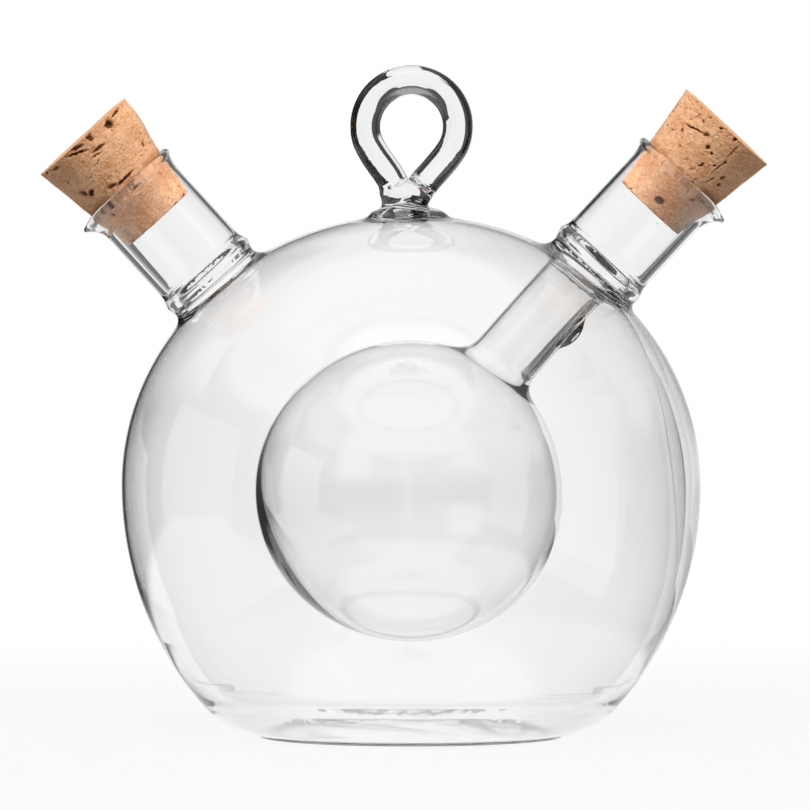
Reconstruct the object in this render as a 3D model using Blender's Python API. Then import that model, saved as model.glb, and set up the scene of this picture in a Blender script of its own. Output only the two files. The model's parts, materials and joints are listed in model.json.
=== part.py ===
"""Two-compartment glass bottle with two corks, for two liquids such as oil and vinegar.

All sizes are in metres. +Z is up and the flat base rests on z = 0, centred on the origin.
The left neck opens into the globe, and the right neck opens into the bulb inside it.
"""

from math import acos, atan2, cos, hypot, pi, radians, sin, sqrt, tau

import bmesh
import bpy
from mathutils import Vector

# Globe, the outer compartment
GLOBE_RADIUS = 0.0500
GLOBE_CENTRE_HEIGHT = 0.0435
GLOBE_UPPER_RISE = 0.0465
GLOBE_WALL = 0.0018
BASE_CUT = 0.0111
BASE_THICKNESS = 0.0026
BASE_CORNER_RADIUS = 0.0150
CAVITY_CORNER_RADIUS = 0.0150

# Necks. Each axis leans from the vertical and crosses the globe's axis near its centre
LEFT_TILT = radians(42.3)
LEFT_CROSSING_RISE = -0.0017
RIGHT_TILT = radians(43.0)
RIGHT_CROSSING_RISE = 0.0032
NECK_LENGTH = 0.0235
NECK_RADIUS = 0.0086
NECK_WALL = 0.0009
WELD_RADIUS = 0.0110
WELD_HEIGHT = 0.0042
LIP_HEIGHT = 0.0040
LIP_OPENING = 0.0005
LIP_WALL = 0.0011
BEAK_REACH = 0.0015
BEAK_DROOP = 0.0011
BEAK_HEIGHT = 0.0050

# Bulb, the inner compartment, and the stem that carries it
BULB_RADIUS = 0.0267
BULB_HALF_HEIGHT = 0.0257
BULB_CENTRE_DROP = 0.0011
BULB_WALL = 0.0013
STEM_RADIUS = 0.0060
STEM_WALL = 0.0012
SEAL_HEIGHT = 0.0035

# Hanging loop and its foot
LOOP_RING_RADIUS = 0.0080
LOOP_ROD_RADIUS = 0.0026
LOOP_LEG_DROP = 0.0044
LOOP_END_RADIUS = 0.0018
LOOP_END_SPREAD = 0.0030
KNOT_SHIFT = -0.0009
KNOT_RADIUS = 0.0042
KNOT_HEIGHT = 0.0027
FOOT_HEIGHT = 0.0027
FOOT_RADIUS = 0.0068
FOOT_EDGE = 0.0007

# Corks
CORK_LENGTH = 0.0196
CORK_SEAT_DEPTH = 0.0085
CORK_TAPER_SHARE = 0.153
CORK_EDGE = 0.0004

# Fits
JOIN_GAP = 0.0003
CORK_CLEARANCE = 0.0003
CUT_OVERRUN = 0.0040
MERGE_DISTANCE = 0.00001

# Facets
GLOBE_SIDES = 48
UPPER_STEPS = 9
LOWER_STEPS = 6
CORNER_STEPS = 4
NECK_SIDES = 32
BEND_STEPS = 4
BULB_SIDES = 36
BULB_STEPS = 16
STEM_SIDES = 24
FOOT_SIDES = 24
LOOP_STEPS = 22
LEG_STEPS = 4
ROD_RESOLUTION = 4
SEARCH_STEPS = 40

BEAK_SHARPNESS = 8
SMOOTH_ANGLE = radians(40)

# Worked out from the sizes above
HEADINGS = {"left": pi, "right": 0}
TILTS = {"left": LEFT_TILT, "right": RIGHT_TILT}
CROSSING_RISES = {"left": LEFT_CROSSING_RISE, "right": RIGHT_CROSSING_RISE}
NECK_BORE = NECK_RADIUS - NECK_WALL
LIP_BORE = NECK_BORE + LIP_OPENING
STEM_BORE = STEM_RADIUS - STEM_WALL
BULB_CENTRE_HEIGHT = GLOBE_CENTRE_HEIGHT - BULB_CENTRE_DROP
FOOT_TOP_HEIGHT = GLOBE_CENTRE_HEIGHT + GLOBE_UPPER_RISE + FOOT_HEIGHT


def clear_scene():
    for item in list(bpy.data.objects):
        bpy.data.objects.remove(item, do_unlink=True)


def make_glass(name):
    """Clear, faintly grey lamp-blown glass."""
    material = bpy.data.materials.new(name)
    material.use_nodes = True
    shader = material.node_tree.nodes["Principled BSDF"]
    shader.inputs["Base Color"].default_value = (0.93, 0.95, 0.95, 1)
    shader.inputs["Roughness"].default_value = 0.02
    shader.inputs["Metallic"].default_value = 0
    shader.inputs["IOR"].default_value = 1.47
    shader.inputs["Transmission Weight"].default_value = 1
    return material


def make_cork(name):
    """Dry natural cork, a warm tan."""
    material = bpy.data.materials.new(name)
    material.use_nodes = True
    shader = material.node_tree.nodes["Principled BSDF"]
    shader.inputs["Base Color"].default_value = (0.62, 0.35, 0.20, 1)
    shader.inputs["Roughness"].default_value = 0.85
    shader.inputs["Metallic"].default_value = 0
    return material


def shares(count):
    """Even steps from 0 to 1."""
    return [step / count for step in range(count + 1)]


def eased(share):
    """Goes from 0 to 1 with a soft start and a soft end."""
    return (1 - cos(pi * share)) / 2


def finish_mesh(shape, name):
    """Clean the shape, shade it smooth and put it in a new object."""
    bmesh.ops.remove_doubles(shape, verts=shape.verts, dist=MERGE_DISTANCE)
    bmesh.ops.recalc_face_normals(shape, faces=shape.faces)
    mesh = bpy.data.meshes.new(name)
    shape.to_mesh(mesh)
    shape.free()
    mesh.shade_smooth()
    mesh.set_sharp_from_angle(angle=SMOOTH_ANGLE)
    item = bpy.data.objects.new(name, mesh)
    bpy.context.scene.collection.objects.link(item)
    return item


def turned(name, outline, sides, ring=False):
    """Turn (radius, height) points about the local Z axis. A ring outline is a closed one."""
    shape = bmesh.new()
    points = [shape.verts.new((radius, 0, height)) for radius, height in outline]
    pairs = list(zip(points, points[1:]))
    if ring:
        pairs.append((points[-1], points[0]))
    edges = [shape.edges.new(pair) for pair in pairs]
    bmesh.ops.spin(
        shape, geom=points + edges, cent=(0, 0, 0), axis=(0, 0, 1),
        angle=tau, steps=sides, use_merge=True,
    )
    return finish_mesh(shape, name)


def as_cutter(item):
    item.hide_render = True
    item.display_type = "WIRE"
    return item


def combine(item, other, operation):
    """Cut the item with another shape, join them, or keep what they share."""
    modifier = item.modifiers.new(operation.lower() + " " + other.name, "BOOLEAN")
    modifier.operation = operation
    modifier.solver = "EXACT"
    modifier.object = other


def place(item, parent=None, height=0, material=None):
    item.parent = parent
    item.location.z = height
    if material:
        item.data.materials.append(material)
    return item


def add_spout(side):
    """An empty whose Z axis is the shared axis of a neck and its cork."""
    spout = bpy.data.objects.new(side + "_spout", None)
    spout.empty_display_size = NECK_LENGTH
    spout.location.z = GLOBE_CENTRE_HEIGHT + CROSSING_RISES[side]
    spout.rotation_euler = (0, TILTS[side], HEADINGS[side])
    bpy.context.scene.collection.objects.link(spout)
    return spout


def globe_reach(side):
    """Distance along a neck's axis from its crossing point to the globe's outer surface."""
    across = sin(TILTS[side]) / GLOBE_RADIUS
    up = cos(TILTS[side]) / GLOBE_UPPER_RISE
    start = CROSSING_RISES[side] / GLOBE_UPPER_RISE
    square = across ** 2 + up ** 2
    return (sqrt((start * up) ** 2 - square * (start ** 2 - 1)) - start * up) / square


def globe_height_at(radius):
    """Height of the globe's upper surface at a radius from its axis."""
    return GLOBE_CENTRE_HEIGHT + GLOBE_UPPER_RISE * sqrt(1 - (radius / GLOBE_RADIUS) ** 2)


def corner_angle(radius, drop, floor, corner):
    """Angle on the lower ellipse where an arc that also touches the floor begins."""
    def centre_above_floor(angle):
        across, up = cos(angle) / radius, sin(angle) / drop
        point_height = GLOBE_CENTRE_HEIGHT + drop * sin(angle)
        return point_height - corner * up / hypot(across, up) - floor - corner

    low, high = -pi / 2, 0
    for _ in range(SEARCH_STEPS):
        middle = (low + high) / 2
        if centre_above_floor(middle) > 0:
            high = middle
        else:
            low = middle
    return high


def globe_outline(inset, floor, corner):
    """Half outline of the globe from its top to the middle of its base, moved in by inset."""
    radius = GLOBE_RADIUS - inset
    rise = GLOBE_UPPER_RISE - inset
    drop = GLOBE_CENTRE_HEIGHT + BASE_CUT - inset
    outline = []
    for share in shares(UPPER_STEPS):
        angle = pi / 2 * share
        outline.append((radius * sin(angle), GLOBE_CENTRE_HEIGHT + rise * cos(angle)))
    start = corner_angle(radius, drop, floor, corner)
    for share in shares(LOWER_STEPS)[1:]:
        angle = start * share
        outline.append((radius * cos(angle), GLOBE_CENTRE_HEIGHT + drop * sin(angle)))
    across, up = cos(start) / radius, sin(start) / drop
    slope = atan2(up, across)
    centre = outline[-1][0] - corner * cos(slope)
    for share in shares(CORNER_STEPS)[1:]:
        angle = slope + (-pi / 2 - slope) * share
        outline.append((centre + corner * cos(angle), floor + corner + corner * sin(angle)))
    outline.append((0, floor))
    return outline


def add_globe_form(name, inset, floor, corner):
    """A solid of the globe's form, bigger or smaller than the glass, to cut with."""
    return as_cutter(turned(name, globe_outline(inset, floor, corner), GLOBE_SIDES))


def add_bore(name, parent, radius, start, end, sides):
    """A rod along a neck's axis, to cut a round hole with."""
    rod = turned(name, [(0, end), (radius, end), (radius, start), (0, start)], sides)
    return as_cutter(place(rod, parent))


def add_globe(material, spouts):
    """Blown shell with a thick flat base, a round hole under each neck and none elsewhere."""
    outline = globe_outline(0, 0, BASE_CORNER_RADIUS)
    globe = place(turned("globe", outline, GLOBE_SIDES), material=material)
    cavity = add_globe_form("globe_cavity", GLOBE_WALL, BASE_THICKNESS, CAVITY_CORNER_RADIUS)
    combine(globe, cavity, "DIFFERENCE")
    for side, spout in spouts.items():
        reach = globe_reach(side)
        bore = add_bore(
            side + "_globe_bore", spout, NECK_BORE,
            reach - CUT_OVERRUN - GLOBE_WALL, reach + CUT_OVERRUN, NECK_SIDES,
        )
        combine(globe, bore, "DIFFERENCE")


def neck_outline(root):
    """Closed outline of a neck's wall: weld ridge, tube, turned-out lip and round rim."""
    rim = root + NECK_LENGTH
    lip_radius = LIP_BORE + LIP_WALL
    edge = LIP_WALL / 2
    foot = root - WELD_RADIUS
    lip_start = rim - edge - LIP_HEIGHT
    outline = [(NECK_BORE, foot), (WELD_RADIUS, foot)]
    for share in shares(BEND_STEPS):
        radius = WELD_RADIUS + (NECK_RADIUS - WELD_RADIUS) * eased(share)
        outline.append((radius, root + WELD_HEIGHT * share))
    for share in shares(BEND_STEPS):
        radius = NECK_RADIUS + (lip_radius - NECK_RADIUS) * share ** 2
        outline.append((radius, lip_start + LIP_HEIGHT * share))
    for share in shares(BEND_STEPS)[1:-1]:
        angle = pi * share
        outline.append((LIP_BORE + edge + edge * cos(angle), rim - edge + edge * sin(angle)))
    outline.append((LIP_BORE, rim - edge))
    outline.append((NECK_BORE, lip_start))
    return outline


def pull_beak(neck, rim):
    """Pull the lower side of the lip out and down into a small pouring beak."""
    for point in neck.data.vertices:
        below = (rim - point.co.z) / BEAK_HEIGHT
        if below >= 1:
            continue
        facing = cos(atan2(point.co.y, point.co.x))
        pull = ((1 + facing) / 2) ** BEAK_SHARPNESS * (1 - below) ** 2
        point.co.x += BEAK_REACH * pull
        point.co.z -= BEAK_DROOP * pull


def add_neck(side, spout, material):
    """A neck whose root follows the globe, with its beak on the outer, lower side."""
    root = globe_reach(side)
    neck = turned(side + "_neck", neck_outline(root), NECK_SIDES, ring=True)
    pull_beak(neck, root + NECK_LENGTH)
    place(neck, spout, material=material)
    combine(neck, bpy.data.objects["globe_clearance"], "DIFFERENCE")


def bulb_outline(inset):
    outline = []
    for share in shares(BULB_STEPS):
        angle = pi * share
        radius = (BULB_RADIUS - inset) * sin(angle)
        outline.append((radius, (BULB_HALF_HEIGHT - inset) * cos(angle)))
    return outline


def add_bulb_form(name, inset):
    form = turned(name, bulb_outline(inset), BULB_SIDES)
    return as_cutter(place(form, height=BULB_CENTRE_HEIGHT))


def add_bulb(spout, material):
    """Round inner vessel with one hole, where its stem joins."""
    bulb = turned("inner_bulb", bulb_outline(0), BULB_SIDES)
    place(bulb, height=BULB_CENTRE_HEIGHT, material=material)
    combine(bulb, add_bulb_form("bulb_cavity", BULB_WALL), "DIFFERENCE")
    mouth = add_bore(
        "bulb_mouth", spout, STEM_BORE, BULB_RADIUS - STEM_RADIUS,
        BULB_RADIUS + CUT_OVERRUN, STEM_SIDES,
    )
    combine(bulb, mouth, "DIFFERENCE")


def add_stem(spout, material):
    """Tube from the bulb up to the globe's inner wall, where it widens round the neck's hole."""
    foot = BULB_RADIUS - STEM_RADIUS
    reach = globe_reach("right")
    seal_top = reach - GLOBE_WALL
    seal_start = seal_top - SEAL_HEIGHT
    outline = [(STEM_BORE, foot), (STEM_RADIUS, foot)]
    for share in shares(BEND_STEPS):
        bore = STEM_BORE + (NECK_BORE - STEM_BORE) * eased(share)
        outline.append((bore + STEM_WALL, seal_start + SEAL_HEIGHT * share))
    outline.append((NECK_BORE + STEM_WALL, reach))
    outline.append((NECK_BORE, reach))
    for share in reversed(shares(BEND_STEPS)):
        bore = STEM_BORE + (NECK_BORE - STEM_BORE) * eased(share)
        outline.append((bore, seal_start + SEAL_HEIGHT * share))
    stem = place(turned("inner_stem", outline, STEM_SIDES, ring=True), spout, material=material)
    room = add_globe_form(
        "stem_room", GLOBE_WALL + JOIN_GAP, BASE_THICKNESS + JOIN_GAP, CAVITY_CORNER_RADIUS,
    )
    combine(stem, room, "INTERSECT")
    combine(stem, add_bulb_form("bulb_clearance", -JOIN_GAP), "DIFFERENCE")


def loop_path(knot_floor):
    """Centre line and thickness of the bent rod, from its left end over to its right end."""
    ring_height = knot_floor + LOOP_LEG_DROP + LOOP_RING_RADIUS
    ring_centre = Vector((0, 0, ring_height))
    stagger = LOOP_END_RADIUS + JOIN_GAP / 2
    end_height = knot_floor + KNOT_HEIGHT / 2
    legs = {}
    for hand in (-1, 1):
        end = Vector((
            KNOT_SHIFT + hand * LOOP_END_SPREAD / 2,
            -hand * stagger,
            end_height,
        ))
        drop, across = ring_height - end.z, end.x
        spread = acos(LOOP_RING_RADIUS / hypot(drop, across))
        legs[hand] = (end, atan2(-drop, across) + hand * spread)
    left_end, left_angle = legs[-1]
    right_end, right_angle = legs[1]
    left_angle += tau

    def on_ring(angle):
        return ring_centre + LOOP_RING_RADIUS * Vector((cos(angle), 0, sin(angle)))

    def leg(end, angle):
        for share in shares(LEG_STEPS)[:-1]:
            radius = LOOP_END_RADIUS + (LOOP_ROD_RADIUS - LOOP_END_RADIUS) * eased(share)
            yield end.lerp(on_ring(angle), share), radius

    ring = []
    for share in shares(LOOP_STEPS):
        angle = left_angle + (right_angle - left_angle) * share
        ring.append((on_ring(angle), LOOP_ROD_RADIUS))
    return list(leg(left_end, left_angle)) + ring + list(leg(right_end, right_angle))[::-1]


def add_loop(material):
    """Bent glass rod whose two ends are pressed into a short, round knot."""
    knot_floor = FOOT_TOP_HEIGHT + JOIN_GAP
    path = loop_path(knot_floor)
    curve = bpy.data.curves.new("loop_rod", "CURVE")
    curve.dimensions = "3D"
    curve.bevel_depth = LOOP_ROD_RADIUS
    curve.bevel_resolution = ROD_RESOLUTION
    curve.use_fill_caps = True
    spline = curve.splines.new("POLY")
    spline.points.add(len(path) - 1)
    for point, (place_on_path, radius) in zip(spline.points, path):
        point.co = (*place_on_path, 1)
        point.radius = radius / LOOP_ROD_RADIUS
    rod = bpy.data.objects.new("loop_rod", curve)
    shape = bmesh.new()
    shape.from_mesh(rod.to_mesh())
    bpy.data.objects.remove(rod)
    loop = place(finish_mesh(shape, "hanging_loop"), material=material)

    outline = [(0, 0), (KNOT_RADIUS, 0)]
    for share in shares(BEND_STEPS):
        angle = pi / 2 * share
        height = KNOT_HEIGHT * (1 + sin(angle)) / 2
        outline.append((KNOT_RADIUS * cos(angle), height))
    knot = as_cutter(place(turned("loop_knot", outline, FOOT_SIDES), height=knot_floor))
    knot.location.x = KNOT_SHIFT
    combine(loop, knot, "UNION")


def add_foot(material):
    """Round glass pad under the loop. Its underside follows the top of the globe."""
    pad_top = globe_height_at(FOOT_RADIUS) + FOOT_EDGE
    outline = [(0, pad_top - FOOT_RADIUS), (FOOT_RADIUS, pad_top - FOOT_RADIUS)]
    for share in shares(BEND_STEPS):
        radius = FOOT_RADIUS + (KNOT_RADIUS - FOOT_RADIUS) * share
        height = pad_top + (FOOT_TOP_HEIGHT - pad_top) * share ** 2
        outline.append((radius, height))
    outline.append((0, FOOT_TOP_HEIGHT))
    foot = place(turned("loop_foot", outline, FOOT_SIDES), material=material)
    foot.location.x = KNOT_SHIFT
    combine(foot, bpy.data.objects["globe_clearance"], "DIFFERENCE")


def add_cork(side, spout, material):
    """Tapered cork, which is pulled out along its spout's Z axis."""
    rim = globe_reach(side) + NECK_LENGTH
    bottom = -CORK_SEAT_DEPTH
    top = bottom + CORK_LENGTH

    def radius_at(height):
        return LIP_BORE - CORK_CLEARANCE + CORK_TAPER_SHARE * height

    outline = [
        (0, bottom),
        (radius_at(bottom) - CORK_EDGE, bottom),
        (radius_at(bottom + CORK_EDGE), bottom + CORK_EDGE),
        (radius_at(top - CORK_EDGE), top - CORK_EDGE),
        (radius_at(top) - CORK_EDGE, top),
        (0, top),
    ]
    place(turned(side + "_cork", outline, NECK_SIDES), spout, rim, material)


def build():
    clear_scene()
    spouts = {side: add_spout(side) for side in HEADINGS}
    add_globe(make_glass("globe_glass"), spouts)
    add_globe_form("globe_clearance", -JOIN_GAP, -JOIN_GAP, BASE_CORNER_RADIUS)
    for side, spout in spouts.items():
        add_neck(side, spout, make_glass(side + "_neck_glass"))
        add_cork(side, spout, make_cork(side + "_cork_grain"))
    add_bulb(spouts["right"], make_glass("bulb_glass"))
    add_stem(spouts["right"], make_glass("stem_glass"))
    add_foot(make_glass("foot_glass"))
    add_loop(make_glass("loop_glass"))


build()
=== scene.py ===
"""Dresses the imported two-compartment glass bottle: fused glass, natural corks, a studio."""

import json
import math

import bpy
import numpy as np
from mathutils import Matrix, Vector, noise


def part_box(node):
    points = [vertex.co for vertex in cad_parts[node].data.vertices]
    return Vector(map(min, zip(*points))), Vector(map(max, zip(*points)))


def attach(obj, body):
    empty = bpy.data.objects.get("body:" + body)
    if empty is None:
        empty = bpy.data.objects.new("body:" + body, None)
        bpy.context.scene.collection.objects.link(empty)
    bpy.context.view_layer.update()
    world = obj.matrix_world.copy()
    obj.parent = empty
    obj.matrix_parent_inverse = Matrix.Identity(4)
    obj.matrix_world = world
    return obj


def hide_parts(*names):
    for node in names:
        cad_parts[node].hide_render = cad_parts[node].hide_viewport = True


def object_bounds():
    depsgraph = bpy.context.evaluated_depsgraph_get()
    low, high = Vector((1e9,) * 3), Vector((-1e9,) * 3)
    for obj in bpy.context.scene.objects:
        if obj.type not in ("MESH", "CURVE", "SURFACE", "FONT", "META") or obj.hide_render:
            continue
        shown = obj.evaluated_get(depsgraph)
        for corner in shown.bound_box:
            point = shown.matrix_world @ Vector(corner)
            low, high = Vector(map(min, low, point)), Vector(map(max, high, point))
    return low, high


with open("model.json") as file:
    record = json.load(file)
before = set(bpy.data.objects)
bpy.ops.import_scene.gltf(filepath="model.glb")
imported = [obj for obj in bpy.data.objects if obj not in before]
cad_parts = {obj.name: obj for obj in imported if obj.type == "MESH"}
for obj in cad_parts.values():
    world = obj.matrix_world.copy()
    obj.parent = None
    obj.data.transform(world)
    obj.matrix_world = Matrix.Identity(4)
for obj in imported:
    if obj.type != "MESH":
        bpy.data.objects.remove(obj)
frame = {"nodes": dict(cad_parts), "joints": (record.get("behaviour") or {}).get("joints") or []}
cad_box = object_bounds()

# Places read from the frame, in metres
GLOBE_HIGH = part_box("globe")[1]
LOOP_LOW, LOOP_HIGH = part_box("hanging_loop")
BULB_LOW, BULB_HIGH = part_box("inner_bulb")
FOOT_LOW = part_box("loop_foot")[0]

# The glass mesh: a grid, worked out in blocks, whose walls are made thicker while the points
# settle, and the share of faces that it keeps
GRID_STEP = 0.00048
GRID_MARGIN = 0.0015
BLOCK_STEPS = 5
SPARE_WALL = 1.6 * GRID_STEP
RELAX_ROUNDS = 2
PROJECT_ROUNDS = 3
SLOPE_STEP = 0.00002
LEAST_SLOPE = 0.05
FACE_SHARE = 0.18
FAR = 0.009
INSIDE_SKIN = 0.00004
TINY = 1e-6
# How far below and above a shape's box its distance is worked out
NECK_MARGINS = (0.012, 0.006)
LOOP_MARGINS = (0.006, 0.003)
INNER_MARGINS = (0.003, 0.003)

# The globe, with a thick wall on the right, a thin one on the left and a faint crease low down
GLOBE_CENTRE_HEIGHT = 0.0435
GLOBE_LOWER_RISE = 0.0546
GLOBE_CORNER = 0.0044
THIN_WALL = 0.00048
THICK_WALL_GAIN = 0.00190
THICK_WALL_HEIGHT = 0.050
THICK_WALL_REACH = 0.027
AXIS_BLEND = 0.01
HEEL_GAIN = 0.0003
HEEL_HEIGHT = 0.002
HEEL_REACH = 0.006
BASE_THICKNESS = 0.0006
CAVITY_CORNER = 0.0040
CREASE_HEIGHT = 0.0064
CREASE_DEPTH = 0.00004
CREASE_REACH = 0.0006

# The necks, along their axes from where these cross the middle of the bottle. Each bore sits
# a little above its tube's middle, and starts this far along from the globe's surface.
NECK_RADIUS = 0.0085
NECK_WALL = 0.0009
NECK_SHIFT = 0.00025
NECK_SHIFT_FADE = 0.006
NECK_START = 0.030
BORE_STARTS = {"left": -0.006, "right": 0.0005}
SURFACE_ROUNDS = 40
NECK_FILLET = 0.0022
LIP_HEIGHT = 0.0040
LIP_FLARE = 0.0006
LIP_ROUNDING = 0.0006
BEAK_HEIGHT = 0.0050
BEAK_REACH = 0.0017
BEAK_DROOP = 0.0011
BEAK_SHARPNESS = 9
WELD_RISE = 0.0023
WELD_REACH = 0.0013
WELD_GAIN = 0.00065
WELD_INSET = 0.0003
INNER_FILLET = 0.0008
CARVE_ROUNDING = 0.00018
RIM_BEAD = 0.00072
RIM_BEAD_INSET = 0.00036

# The inner bulb, thick at its lower left, and its stem with a drop of glass on its lower side
BULB_WALL = 0.00036
BULB_THICK_GAIN = 0.00065
BULB_THICK_SIDE = Vector((-0.90, 0.0, -0.43))
BULB_THICK_SHARPNESS = 8.0
BULB_SQUAT = 0.001
STEM_TILT = math.radians(41.0)
STEM_CROSSING = 0.0455
STEM_RADIUS = 0.00590
STEM_WALL = 0.00085
STEM_SHIFT = 0.00025
STEM_FILLET = 0.0030
STEM_HIGH = (0.045, 0.086)
SEAL_FLARE = 0.0016
SEAL_REACH = 0.0022
BLOB_PLACE = 0.0362
BLOB_OFFSET = 0.0054
BLOB_LENGTH = 0.0031
BLOB_WIDTH = 0.0017

# The hanging loop: a bent rod whose ends meet in a knot above a pad
LOOP_ROD_RADIUS = 0.0026
LOOP_CENTRE = Vector((0.0001, 0.0, 0.1053))
LOOP_RING_RADIUS = 0.0080
LOOP_RING_ENDS = (218, -42)
LOOP_RING_POINTS = 11
LOOP_LEFT_LEG = (Vector((-0.0024, 0.0010, 0.0915)), Vector((-0.0030, 0.0008, 0.0955)))
LOOP_RIGHT_LEG = (Vector((0.0018, -0.0012, 0.0950)), Vector((-0.0002, -0.0014, 0.0915)))
LOOP_PATH_STEPS = 5
LOOP_FILLET = 0.0009
KNOT_HEIGHT = 0.0938
KNOT_RADII = (0.0044, 0.0036, 0.0022)
FOOT_RADIUS = 0.0062
FOOT_CENTRE_X = -0.0009
FOOT_THICKNESS = 0.0017
FOOT_HEIGHT = 0.0899
FOOT_UNEVENNESS = 0.07
FOOT_LOBES = 3
FOOT_TURN = 1
FOOT_FILLET = 0.0020

# The corks: a tapered form with a soft swelling, ripple and grit
MM = 0.001
CORK_COLUMNS = 400
CORK_ROWS = 150
CORK_CAP_ROWS = 34
CORK_EDGE_ROWS = 4
CORK_EDGE = 0.3 * MM
CORK_SKIN = 0.03 * MM
CORK_SEED = 3
CORK_SWELL = 0.45 * MM
CORK_SWELL_PLACE = 0.78
CORK_SWELL_REACH = 0.16
CORK_RIPPLE = 0.10 * MM
CORK_RIPPLE_SIZE = 3.0 * MM
CORK_GRIT = 0.12 * MM
CORK_GRIT_SIZE = 0.5 * MM
# Pits with ragged edges. Those at random are small, and smaller still on the side that the
# photo shows, where the list below has the large ones. Their half widths, in millimetres, are
# the least, the usual most, and how much more a few can have.
PIT_RAGGEDNESS = 0.20 * MM
PIT_RAGGED_SIZE = 0.5 * MM
PIT_FLOOR = 0.35
PIT_SLOPE = 0.75
PIT_COLOUR_DEPTH = 0.35 * MM
PIT_FARTHEST = 0.98
RANDOM_PITS = 120
RANDOM_END_PITS = 24
PIT_WIDTHS = (0.10, 0.14, 0.4)
END_PIT_WIDTHS = (0.15, 0.2, 0.4)
FRONT_PIT_SHARE = 0.35
PIT_STRETCH = 2.6
PIT_DEPTHS = (0.7, 1.5)
PIT_TURN = 30
# Fine winding cracks in patches, from noises that are shifted to differ
CRACK_DEPTH = 0.13 * MM
CRACK_SIZES = (2.6 * MM, 1.1 * MM)
CRACK_FINE_SHARE = 0.5
CRACK_WIDTH = 0.055
CRACK_PATCHES = 4.5 * MM
CRACK_PATCH_CONTRAST = 4
CRACK_SHIFTS = (1 * MM, 3 * MM)
# Rusty stains round the pits, and a rusty stain with painted shade of the dark gap where the
# neck's rim presses
RIM_STAIN_AND_SHADE = 0.42
RIM_STAIN_AND_SHADE_REACH = 0.9 * MM
RIM_STAIN_AND_SHADE_SIZE = 1.6 * MM
RIM_STAIN_AND_SHADE_COVER = 0.6
HALO = 0.30
HALO_START = 0.6
HALO_REACH = 2.3
HALO_SIZE = 0.9 * MM
HALO_COVER = 0.5
HALO_CONTRAST = 1.5
HALO_FULL_PIT = 0.8 * MM
# Each pit or split, in millimetres and degrees: height above the cork's small end, offset
# towards its outer side, half length, half width, turn from the rim's direction, depth
CORK_PITS = {
    "left": (
        (18.0, -5.2, 0.95, 0.80, 0, 0.9),
        (18.1, 2.4, 2.30, 0.24, 23, 0.8),
        (18.8, 1.7, 1.60, 0.50, 16, 0.4),
        (16.2, -1.1, 1.70, 0.32, 5, 0.4),
        (15.6, -0.1, 1.20, 0.18, 10, 0.3),
        (14.6, 0.6, 0.80, 0.12, -25, 0.25),
        (11.3, 5.3, 0.90, 0.55, -20, 0.9),
        (12.1, 6.3, 0.80, 0.60, 30, 0.4),
        (11.5, -7.1, 0.40, 0.55, 30, 0.5),
        (10.8, -8.1, 0.30, 0.30, 0, 0.35),
        (9.3, -0.9, 2.50, 0.32, -3, 0.55),
        (9.8, 1.7, 1.20, 0.45, 10, 0.35),
        (7.4, 4.1, 0.60, 0.50, 0, 0.6),
        (6.0, 4.9, 0.50, 0.50, 0, 0.5),
        (7.8, 5.9, 0.50, 0.45, 0, 0.5),
        (7.2, -1.2, 1.30, 0.28, 0, 0.5),
        (0.2, -6.2, 0.50, 0.45, 0, 0.5),
        (0.1, -4.3, 0.50, 0.35, 0, 0.4),
        (0.1, 2.9, 0.70, 0.35, 0, 0.4),
        (0.2, 5.4, 0.80, 0.40, 0, 0.5),
        (19.3, 9.0, 1.10, 0.50, 20, 0.6),
        (18.6, 7.0, 1.30, 0.28, 10, 0.4),
        (18.7, -7.4, 1.70, 0.22, -4, 0.6),
    ),
    "right": (
        (16.1, -9.3, 0.55, 0.35, 90, 0.5),
        (15.0, -8.9, 0.50, 0.35, 60, 0.45),
        (14.0, -8.7, 0.35, 0.30, 0, 0.3),
        (12.6, -7.9, 0.30, 0.25, 0, 0.4),
        (11.0, -8.6, 0.45, 0.30, 80, 0.45),
        (15.5, -4.3, 2.30, 0.20, 13, 0.5),
        (16.1, -2.0, 0.75, 0.40, 20, 0.35),
        (17.7, -5.2, 0.90, 0.16, 60, 0.25),
        (17.5, -4.0, 0.55, 0.26, 0, 0.3),
        (13.8, -5.6, 0.45, 0.32, 90, 0.4),
        (18.6, -0.9, 0.40, 0.32, 0, 0.45),
        (19.0, 2.3, 0.50, 0.40, 40, 0.5),
        (14.7, -0.3, 0.50, 0.45, 60, 0.5),
        (14.4, 0.9, 0.35, 0.30, 0, 0.35),
        (14.8, 3.8, 0.35, 0.30, 0, 0.5),
        (13.2, 2.7, 0.30, 0.30, 0, 0.4),
        (11.8, 1.0, 0.70, 0.28, 70, 0.45),
        (11.6, -4.0, 0.40, 0.35, 0, 0.2),
        (17.2, 3.4, 1.70, 0.12, 90, 0.35),
        (13.8, 3.5, 1.80, 0.12, 86, 0.35),
        (11.0, 4.0, 1.10, 0.12, 70, 0.3),
        (12.6, 5.3, 0.60, 0.30, 70, 0.5),
        (11.3, 5.7, 0.40, 0.40, 0, 0.5),
        (2.3, -0.1, 1.00, 0.65, 10, 0.9),
        (6.3, 4.0, 0.70, 0.35, 10, 0.5),
        (8.2, 2.1, 1.30, 0.32, 0, 0.5),
        (1.9, -6.8, 0.30, 0.30, 0, 0.4),
        (0.4, -4.9, 0.35, 0.30, 0, 0.35),
        (0.3, -6.4, 0.35, 0.30, 0, 0.35),
    ),
}

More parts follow.
